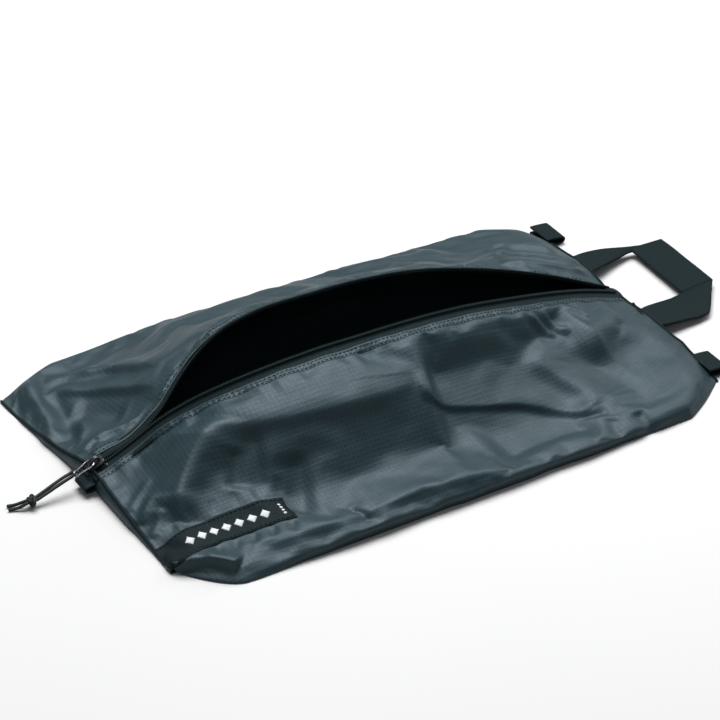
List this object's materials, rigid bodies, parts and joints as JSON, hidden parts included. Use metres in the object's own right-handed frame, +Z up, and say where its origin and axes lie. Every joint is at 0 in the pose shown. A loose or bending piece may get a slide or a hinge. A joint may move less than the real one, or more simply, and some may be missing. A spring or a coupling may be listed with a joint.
{
  "type": "shoe bag",
  "caption": "Flat zipped shoe bag of ripstop cloth lying open, with a full-length coil zip, a corded slider, a webbing carry handle and corner loops.",
  "frame": {"origin": "centre of the bottom panel, on the surface that the bag lies on", "axes": "+X along the bag to the carry handle's end, -Y to the front with the label, +Z up out of the mouth"},
  "size_m": [0.4837, 0.2478, 0.0597],
  "materials": {
    "shell_fabric": "satin",
    "binding": "matt",
    "zip_tape": "matt",
    "zip_coil": "satin",
    "thread": "satin",
    "slider_metal": "satin",
    "pull_wire": "polished",
    "cord": "matt",
    "webbing": "matt",
    "label_cloth": "matt"
  },
  "bodies": {
    "bag": {"bottom_panel": "shell_fabric", "front_panel": "shell_fabric", "back_panel": "shell_fabric", "end_binding_left": "binding", "end_binding_right": "binding", "zip_tape_start": "zip_tape", "zip_tape_end": "zip_tape", "bottom_stop": "thread", "top_stops": "zip_coil", "zip_end_tab": "webbing", "handle_bartacks": "thread", "corner_loop_front": "webbing", "corner_loop_back": "webbing", "loop_bartacks": "thread", "label": "label_cloth", "label_stitching": "thread"},
    "mouth_front": {"zip_tape_front": "zip_tape", "zip_coil_front": "zip_coil", "zip_stitching_front": "thread"},
    "mouth_back": {"zip_tape_back": "zip_tape", "zip_coil_back": "zip_coil", "zip_stitching_back": "thread"},
    "slider": {"slider_body": "slider_metal"},
    "pull": {"slider_pull": "pull_wire"},
    "cord": {"pull_cord_front": "cord", "pull_cord_back": "cord", "cord_knot": "cord"},
    "handle": {"carry_handle": "webbing"}
  },
  "joints": [
    {"name": "zip_travel", "type": "hinge", "parent": "bag", "child": "slider", "pos_m": [0, 0, -0.27289], "axis": [0, 1, 0], "range_deg": [0, 62.4]},
    {"name": "mouth_front_close", "type": "hinge", "parent": "bag", "child": "mouth_front", "pos_m": [0, 0, 0.008], "axis": [1, 0, 0], "range_deg": [-25, 0]},
    {"name": "mouth_back_close", "type": "hinge", "parent": "bag", "child": "mouth_back", "pos_m": [0, 0, 0.008], "axis": [1, 0, 0], "range_deg": [0, 35]},
    {"name": "pull_flip", "type": "hinge", "parent": "slider", "child": "pull", "pos_m": [-0.18157, 0, 0.01598], "axis": [0, 1, 0], "range_deg": [0, 120]},
    {"name": "cord_swing", "type": "hinge", "parent": "pull", "child": "cord", "pos_m": [-0.19308, 0, 0.01061], "axis": [0, 1, 0], "range_deg": [0, 45]},
    {"name": "handle_lift", "type": "hinge", "parent": "bag", "child": "handle", "pos_m": [0.191, 0, 0.004], "axis": [0, -1, 0], "range_deg": [0, 90]}
  ],
  "couplings": [
    {"joint": "mouth_front_close", "follows": "zip_travel", "ratio": -0.4006},
    {"joint": "mouth_back_close", "follows": "zip_travel", "ratio": 0.5608}
  ]
}
